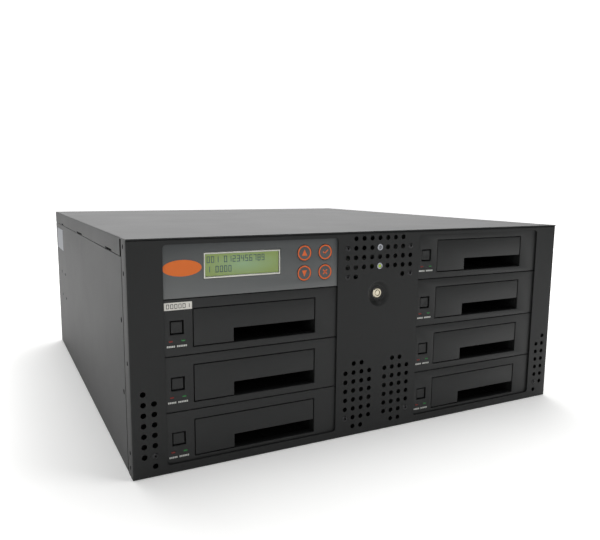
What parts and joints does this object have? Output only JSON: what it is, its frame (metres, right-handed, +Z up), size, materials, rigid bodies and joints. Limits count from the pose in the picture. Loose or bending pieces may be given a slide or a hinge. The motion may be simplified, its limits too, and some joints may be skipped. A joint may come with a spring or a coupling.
{
  "type": "hard drive duplicator",
  "caption": "Rack-height black steel drive duplicator with sprung flap door bays, a small display with keys, a key switch and vented front.",
  "frame": {"origin": "bottom centre of the bounding box, on the underside", "axes": "+Z up, +Y towards the back, the front panel faces -Y, +X to the right as seen from the front"},
  "size_m": [0.424, 0.4538, 0.177],
  "materials": {
    "black_coat": "fine textured powder coat",
    "zinc_steel": "zinc plated",
    "screw_black": "black oxide",
    "circuit_board": "solder mask",
    "bezel_plastic": "satin moulded",
    "door_plastic": "satin moulded",
    "button_plastic": "satin moulded",
    "rack_plastic": "satin moulded",
    "red_pipe": "clear tinted",
    "green_pipe": "clear tinted",
    "fascia_plastic": "satin moulded",
    "key_plastic": "satin moulded",
    "display_metal": "satin",
    "display_green": "glossy",
    "lock_black": "black plated",
    "lock_bright": "bright",
    "bright_ring": "bright",
    "lamp_clear": "clear tinted",
    "black_plastic": "satin moulded"
  },
  "bodies": {
    "chassis": {"access_light_pipes": "green_pipe", "bay_bezel_1": "bezel_plastic", "bay_bezel_2": "bezel_plastic", "bay_bezel_3": "bezel_plastic", "bay_bezel_4": "bezel_plastic", "bay_bezel_5": "bezel_plastic", "bay_bezel_6": "bezel_plastic", "bay_bezel_7": "bezel_plastic", "chassis_tray": "black_coat", "control_board": "circuit_board", "control_fascia": "fascia_plastic", "display_frame": "display_metal", "display_glass": "display_green", "duplicator_board": "circuit_board", "front_panel": "black_coat", "key_switch_body": "lock_black", "lamp_board": "circuit_board", "lamp_holders": "bright_ring", "left_drive_cage": "zinc_steel", "panel_lamps": "lamp_clear", "panel_screws": "screw_black", "power_light_pipes": "red_pipe", "psu_case": "zinc_steel", "psu_fan_frame": "black_plastic", "psu_inlet": "black_plastic", "rack_boards": "circuit_board", "rack_housing_1": "rack_plastic", "rack_housing_2": "rack_plastic", "rack_housing_3": "rack_plastic", "rack_housing_4": "rack_plastic", "rack_housing_5": "rack_plastic", "rack_housing_6": "rack_plastic", "rack_housing_7": "rack_plastic", "rear_fan_frame": "black_plastic", "rear_panel": "black_coat", "right_drive_cage": "zinc_steel", "top_cover": "black_coat"},
    "door_1": {"bay_door_1": "door_plastic"},
    "power_push_1": {"power_button_1": "button_plastic"},
    "door_2": {"bay_door_2": "door_plastic"},
    "power_push_2": {"power_button_2": "button_plastic"},
    "door_3": {"bay_door_3": "door_plastic"},
    "power_push_3": {"power_button_3": "button_plastic"},
    "door_4": {"bay_door_4": "door_plastic"},
    "power_push_4": {"power_button_4": "button_plastic"},
    "door_5": {"bay_door_5": "door_plastic"},
    "power_push_5": {"power_button_5": "button_plastic"},
    "door_6": {"bay_door_6": "door_plastic"},
    "power_push_6": {"power_button_6": "button_plastic"},
    "door_7": {"bay_door_7": "door_plastic"},
    "power_push_7": {"power_button_7": "button_plastic"},
    "up_key": {"key_up": "key_plastic"},
    "down_key": {"key_down": "key_plastic"},
    "enter_key": {"key_enter": "key_plastic"},
    "escape_key": {"key_escape": "key_plastic"},
    "lock_core": {"key_switch_core": "lock_bright"},
    "mains_rocker": {"psu_rocker": "black_plastic"},
    "psu_rotor": {"psu_fan_rotor": "black_plastic"},
    "rear_rotor": {"rear_fan_rotor": "black_plastic"}
  },
  "joints": [
    {"name": "door_1_hinge", "type": "hinge", "parent": "chassis", "child": "door_1", "pos_m": [-0.11305, -0.22118, 0.1257], "axis": [1, 0, 0], "range_deg": [0, 90], "stiffness_Nm_per_rad": 0.01, "springref_deg": -17.19},
    {"name": "power_push_1_slide", "type": "slide", "parent": "chassis", "child": "power_push_1", "axis": [0, 1, 0], "range_m": [0, 0.0012], "stiffness_N_per_m": 400, "springref_m": -0.001},
    {"name": "door_2_hinge", "type": "hinge", "parent": "chassis", "child": "door_2", "pos_m": [-0.11305, -0.22118, 0.083], "axis": [1, 0, 0], "range_deg": [0, 90], "stiffness_Nm_per_rad": 0.01, "springref_deg": -17.19},
    {"name": "power_push_2_slide", "type": "slide", "parent": "chassis", "child": "power_push_2", "axis": [0, 1, 0], "range_m": [0, 0.0012], "stiffness_N_per_m": 400, "springref_m": -0.001},
    {"name": "door_3_hinge", "type": "hinge", "parent": "chassis", "child": "door_3", "pos_m": [-0.11305, -0.22118, 0.0403], "axis": [1, 0, 0], "range_deg": [0, 90], "stiffness_Nm_per_rad": 0.01, "springref_deg": -17.19},
    {"name": "power_push_3_slide", "type": "slide", "parent": "chassis", "child": "power_push_3", "axis": [0, 1, 0], "range_m": [0, 0.0012], "stiffness_N_per_m": 400, "springref_m": -0.001},
    {"name": "door_4_hinge", "type": "hinge", "parent": "chassis", "child": "door_4", "pos_m": [0.11475, -0.22118, 0.1684], "axis": [1, 0, 0], "range_deg": [0, 90], "stiffness_Nm_per_rad": 0.01, "springref_deg": -17.19},
    {"name": "power_push_4_slide", "type": "slide", "parent": "chassis", "child": "power_push_4", "axis": [0, 1, 0], "range_m": [0, 0.0012], "stiffness_N_per_m": 400, "springref_m": -0.001},
    {"name": "door_5_hinge", "type": "hinge", "parent": "chassis", "child": "door_5", "pos_m": [0.11475, -0.22118, 0.1257], "axis": [1, 0, 0], "range_deg": [0, 90], "stiffness_Nm_per_rad": 0.01, "springref_deg": -17.19},
    {"name": "power_push_5_slide", "type": "slide", "parent": "chassis", "child": "power_push_5", "axis": [0, 1, 0], "range_m": [0, 0.0012], "stiffness_N_per_m": 400, "springref_m": -0.001},
    {"name": "door_6_hinge", "type": "hinge", "parent": "chassis", "child": "door_6", "pos_m": [0.11475, -0.22118, 0.083], "axis": [1, 0, 0], "range_deg": [0, 90], "stiffness_Nm_per_rad": 0.01, "springref_deg": -17.19},
    {"name": "power_push_6_slide", "type": "slide", "parent": "chassis", "child": "power_push_6", "axis": [0, 1, 0], "range_m": [0, 0.0012], "stiffness_N_per_m": 400, "springref_m": -0.001},
    {"name": "door_7_hinge", "type": "hinge", "parent": "chassis", "child": "door_7", "pos_m": [0.11475, -0.22118, 0.0403], "axis": [1, 0, 0], "range_deg": [0, 90], "stiffness_Nm_per_rad": 0.01, "springref_deg": -17.19},
    {"name": "power_push_7_slide", "type": "slide", "parent": "chassis", "child": "power_push_7", "axis": [0, 1, 0], "range_m": [0, 0.0012], "stiffness_N_per_m": 400, "springref_m": -0.001},
    {"name": "up_key_slide", "type": "slide", "parent": "chassis", "child": "up_key", "axis": [0, 1, 0], "range_m": [0, 0.0005], "stiffness_N_per_m": 600, "springref_m": -0.0005},
    {"name": "down_key_slide", "type": "slide", "parent": "chassis", "child": "down_key", "axis": [0, 1, 0], "range_m": [0, 0.0005], "stiffness_N_per_m": 600, "springref_m": -0.0005},
    {"name": "enter_key_slide", "type": "slide", "parent": "chassis", "child": "enter_key", "axis": [0, 1, 0], "range_m": [0, 0.0005], "stiffness_N_per_m": 600, "springref_m": -0.0005},
    {"name": "escape_key_slide", "type": "slide", "parent": "chassis", "child": "escape_key", "axis": [0, 1, 0], "range_m": [0, 0.0005], "stiffness_N_per_m": 600, "springref_m": -0.0005},
    {"name": "key_switch_turn", "type": "hinge", "parent": "chassis", "child": "lock_core", "pos_m": [0, -0.21618, 0.1235], "axis": [0, 1, 0], "range_deg": [0, 90]},
    {"name": "mains_rocker_tilt", "type": "hinge", "parent": "chassis", "child": "mains_rocker", "pos_m": [0.168, 0.22112, 0.0533], "axis": [1, 0, 0], "range_deg": [0, 14]},
    {"name": "psu_fan_spin", "type": "hinge", "parent": "chassis", "child": "psu_rotor", "pos_m": [0.093, 0.20932, 0.0443], "axis": [0, 1, 0], "continuous": true},
    {"name": "rear_fan_spin", "type": "hinge", "parent": "chassis", "child": "rear_rotor", "pos_m": [-0.11, 0.21082, 0.095], "axis": [0, 1, 0], "continuous": true}
  ]
}
